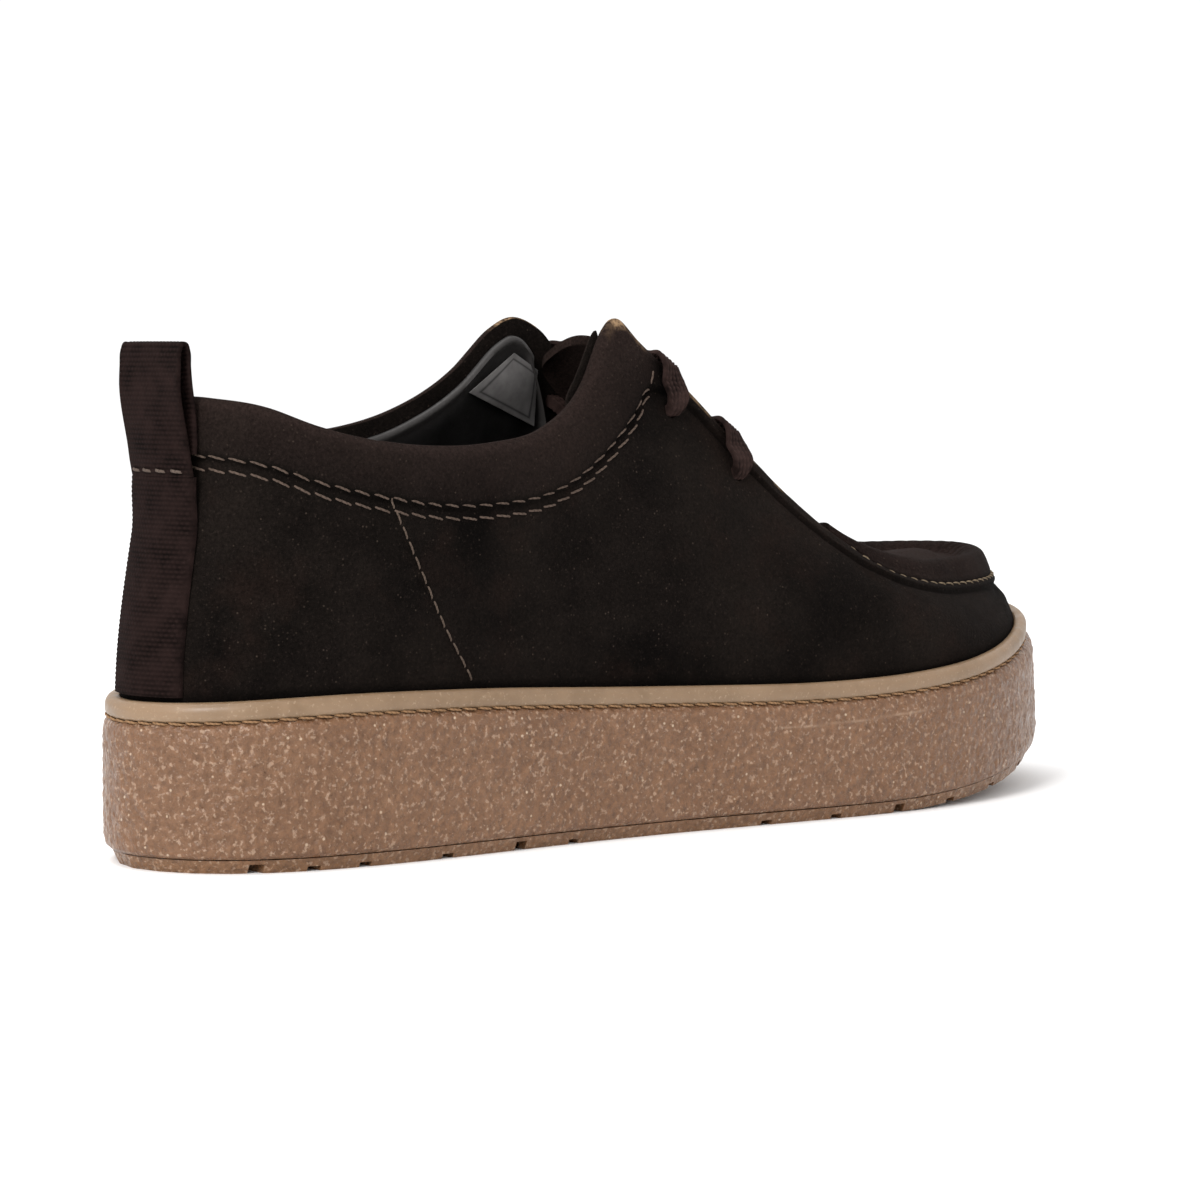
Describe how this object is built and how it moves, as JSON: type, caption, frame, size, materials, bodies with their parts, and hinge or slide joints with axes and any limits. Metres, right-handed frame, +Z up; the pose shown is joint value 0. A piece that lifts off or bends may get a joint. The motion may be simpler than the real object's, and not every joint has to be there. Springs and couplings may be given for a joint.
{
  "type": "moccasin lace-up shoe",
  "caption": "Low suede moccasin lace-up shoe on a thick crepe cup sole, with a webbing backstrap and pull loop. Right foot, empty.",
  "frame": {"origin": "middle of the footprint's box, on the floor", "axes": "+Z up, +Y towards the heel, -Y towards the toe, -X towards the lateral (outer) side"},
  "size_m": [0.1025, 0.3, 0.1286],
  "materials": {
    "outsole": "tan crepe, matte",
    "midsole": "crumbed tan crepe, matte",
    "rim_band": "smooth olive tan, satin",
    "insole": "grey lining leather, satin",
    "upper": "dark brown suede",
    "apron": "dark brown suede",
    "tongue": "dark brown suede",
    "backstrap": "dark ribbed webbing",
    "pull_loop": "dark ribbed webbing",
    "lace": "dark flat braid"
  },
  "bodies": {
    "root": {"outsole": "outsole", "midsole": "midsole", "rim_band": "rim_band", "insole": "insole", "upper": "upper", "apron": "apron", "tongue": "tongue", "backstrap": "backstrap", "pull_loop": "pull_loop", "lace": "lace"}
  },
  "joints": []
}
